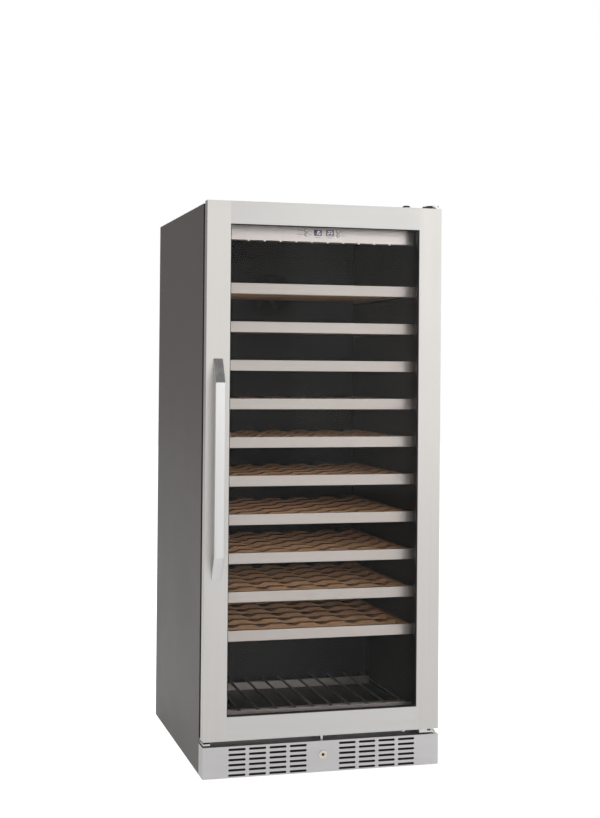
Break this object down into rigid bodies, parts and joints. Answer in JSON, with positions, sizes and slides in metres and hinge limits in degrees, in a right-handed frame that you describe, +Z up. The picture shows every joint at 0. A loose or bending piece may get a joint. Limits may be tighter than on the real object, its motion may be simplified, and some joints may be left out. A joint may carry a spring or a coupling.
{
  "type": "wine cooler",
  "caption": "Tall built-in wine cooler with a framed glass door, pull-out wooden shelves, lit control panel, bar handle and slotted base grille.",
  "frame": {"origin": "middle of the footprint on the floor, at the underside of the levelling feet", "axes": "+Z up, -Y out of the door, +X to the right as seen from the front (the hinge side)"},
  "size_m": [0.595, 0.697, 1.3905],
  "materials": {
    "stainless": "brushed, satin",
    "strip_steel": "brushed, satin",
    "side_paint": "satin dark grey paint",
    "galvanised": "dull zinc coat",
    "liner_plastic": "black moulded plastic",
    "foam": "rigid foam",
    "frame_plastic": "black moulded plastic",
    "seal_rubber": "black soft rubber",
    "tinted_glass": "clear, faintly tinted",
    "spacer": "black edge bar",
    "handle_steel": "brushed, satin",
    "beech": "oiled beech",
    "lock_metal": "nickel plate",
    "zinc_steel": "bright zinc plate",
    "cover_plastic": "dark moulded plastic",
    "white_plastic": "white moulded plastic",
    "display_plastic": "dark window with light digits",
    "lamp_plastic": "white, lit lamps",
    "dark_plastic": "black moulded plastic",
    "fan_plastic": "dark grey moulded plastic",
    "copper": "copper tube",
    "compressor_paint": "gloss black paint",
    "fin_aluminium": "plain fins",
    "foot_plastic": "black moulded plastic"
  },
  "bodies": {
    "cabinet": {"outer_wrap": "side_paint", "back_panel": "galvanised", "inner_liner": "liner_plastic", "cabinet_insulation": "foam", "base_plate": "galvanised", "base_grille": "stainless", "lock_housing": "lock_metal", "top_hinge": "zinc_steel", "top_hinge_cover": "cover_plastic", "bottom_brackets": "zinc_steel", "control_panel": "strip_steel", "display_modules": "display_plastic", "led_light_bar": "lamp_plastic", "floor_rack": "strip_steel", "shelf_rails": "dark_plastic", "evaporator_cover": "dark_plastic", "evaporator_coil": "copper", "compressor": "compressor_paint", "condenser": "fin_aluminium", "power_inlet": "dark_plastic"},
    "door": {"door_frame": "stainless", "door_inner_frame": "frame_plastic", "outer_glass": "tinted_glass", "glass_spacer": "spacer", "inner_glass": "tinted_glass", "door_gasket": "seal_rubber", "door_handle": "handle_steel", "hinge_bushes": "white_plastic"},
    "front_left_foot": {"foot_front_left": "foot_plastic"},
    "front_right_foot": {"foot_front_right": "foot_plastic"},
    "rear_left_foot": {"foot_rear_left": "foot_plastic"},
    "rear_right_foot": {"foot_rear_right": "foot_plastic"},
    "power_button": {"button_power": "white_plastic"},
    "light_button": {"button_light": "white_plastic"},
    "up_button": {"button_up": "white_plastic"},
    "down_button": {"button_down": "white_plastic"},
    "lock_barrel": {"lock_cylinder": "lock_metal"},
    "bolt": {"lock_bolt": "zinc_steel"},
    "inner_fan": {"evaporator_fan": "fan_plastic"},
    "rear_fan": {"condenser_fan": "fan_plastic"},
    "shelf_01": {"shelf_rack_01": "beech", "shelf_strip_01": "strip_steel"},
    "shelf_02": {"shelf_rack_02": "beech", "shelf_strip_02": "strip_steel"},
    "shelf_03": {"shelf_rack_03": "beech", "shelf_strip_03": "strip_steel"},
    "shelf_04": {"shelf_rack_04": "beech", "shelf_strip_04": "strip_steel"},
    "shelf_05": {"shelf_rack_05": "beech", "shelf_strip_05": "strip_steel"},
    "shelf_06": {"shelf_rack_06": "beech", "shelf_strip_06": "strip_steel"},
    "shelf_07": {"shelf_rack_07": "beech", "shelf_strip_07": "strip_steel"},
    "shelf_08": {"shelf_rack_08": "beech", "shelf_strip_08": "strip_steel"},
    "shelf_09": {"shelf_rack_09": "beech", "shelf_strip_09": "strip_steel"},
    "shelf_10": {"shelf_rack_10": "beech", "shelf_strip_10": "strip_steel"}
  },
  "joints": [
    {"name": "door_hinge", "type": "hinge", "parent": "cabinet", "child": "door", "pos_m": [0.285, -0.2985, 0.7], "axis": [0, 0, 1], "range_deg": [0, 120]},
    {"name": "shelf_01_slide", "type": "slide", "parent": "cabinet", "child": "shelf_01", "axis": [0, -1, 0], "range_m": [0, 0.084]},
    {"name": "shelf_02_slide", "type": "slide", "parent": "cabinet", "child": "shelf_02", "axis": [0, -1, 0], "range_m": [0, 0.084]},
    {"name": "shelf_03_slide", "type": "slide", "parent": "cabinet", "child": "shelf_03", "axis": [0, -1, 0], "range_m": [0, 0.084]},
    {"name": "shelf_04_slide", "type": "slide", "parent": "cabinet", "child": "shelf_04", "axis": [0, -1, 0], "range_m": [0, 0.084]},
    {"name": "shelf_05_slide", "type": "slide", "parent": "cabinet", "child": "shelf_05", "axis": [0, -1, 0], "range_m": [0, 0.084]},
    {"name": "shelf_06_slide", "type": "slide", "parent": "cabinet", "child": "shelf_06", "axis": [0, -1, 0], "range_m": [0, 0.084]},
    {"name": "shelf_07_slide", "type": "slide", "parent": "cabinet", "child": "shelf_07", "axis": [0, -1, 0], "range_m": [0, 0.084]},
    {"name": "shelf_08_slide", "type": "slide", "parent": "cabinet", "child": "shelf_08", "axis": [0, -1, 0], "range_m": [0, 0.084]},
    {"name": "shelf_09_slide", "type": "slide", "parent": "cabinet", "child": "shelf_09", "axis": [0, -1, 0], "range_m": [0, 0.084]},
    {"name": "shelf_10_slide", "type": "slide", "parent": "cabinet", "child": "shelf_10", "axis": [0, -1, 0], "range_m": [0, 0.084]},
    {"name": "front_left_foot_screw", "type": "slide", "parent": "cabinet", "child": "front_left_foot", "axis": [0, 0, -1], "range_m": [0, 0.02]},
    {"name": "front_right_foot_screw", "type": "slide", "parent": "cabinet", "child": "front_right_foot", "axis": [0, 0, -1], "range_m": [0, 0.02]},
    {"name": "rear_left_foot_screw", "type": "slide", "parent": "cabinet", "child": "rear_left_foot", "axis": [0, 0, -1], "range_m": [0, 0.02]},
    {"name": "rear_right_foot_screw", "type": "slide", "parent": "cabinet", "child": "rear_right_foot", "axis": [0, 0, -1], "range_m": [0, 0.02]},
    {"name": "power_button_press", "type": "slide", "parent": "cabinet", "child": "power_button", "axis": [0, 1, 0], "range_m": [0, 0.001], "stiffness_N_per_m": 600},
    {"name": "light_button_press", "type": "slide", "parent": "cabinet", "child": "light_button", "axis": [0, 1, 0], "range_m": [0, 0.001], "stiffness_N_per_m": 600},
    {"name": "up_button_press", "type": "slide", "parent": "cabinet", "child": "up_button", "axis": [0, 1, 0], "range_m": [0, 0.001], "stiffness_N_per_m": 600},
    {"name": "down_button_press", "type": "slide", "parent": "cabinet", "child": "down_button", "axis": [0, 1, 0], "range_m": [0, 0.001], "stiffness_N_per_m": 600},
    {"name": "lock_turn", "type": "hinge", "parent": "cabinet", "child": "lock_barrel", "pos_m": [0, -0.3165, 0.045], "axis": [0, -1, 0], "range_deg": [0, 90]},
    {"name": "bolt_lift", "type": "slide", "parent": "cabinet", "child": "bolt", "axis": [0, 0, 1], "range_m": [0, 0.0121]},
    {"name": "inner_fan_spin", "type": "hinge", "parent": "cabinet", "child": "inner_fan", "pos_m": [0, 0.2515, 1.19], "axis": [0, 1, 0], "continuous": true},
    {"name": "rear_fan_spin", "type": "hinge", "parent": "cabinet", "child": "rear_fan", "pos_m": [-0.15, 0.2355, 0.101], "axis": [0, 1, 0], "continuous": true}
  ],
  "couplings": [
    {"joint": "shelf_01_slide", "follows": "door_hinge", "m_per_rad": 0.04},
    {"joint": "shelf_02_slide", "follows": "door_hinge", "m_per_rad": 0.04},
    {"joint": "shelf_03_slide", "follows": "door_hinge", "m_per_rad": 0.04},
    {"joint": "shelf_04_slide", "follows": "door_hinge", "m_per_rad": 0.04},
    {"joint": "shelf_05_slide", "follows": "door_hinge", "m_per_rad": 0.04},
    {"joint": "shelf_06_slide", "follows": "door_hinge", "m_per_rad": 0.04},
    {"joint": "shelf_07_slide", "follows": "door_hinge", "m_per_rad": 0.04},
    {"joint": "shelf_08_slide", "follows": "door_hinge", "m_per_rad": 0.04},
    {"joint": "shelf_09_slide", "follows": "door_hinge", "m_per_rad": 0.04},
    {"joint": "shelf_10_slide", "follows": "door_hinge", "m_per_rad": 0.04},
    {"joint": "bolt_lift", "follows": "lock_turn", "m_per_rad": 0.007639}
  ]
}
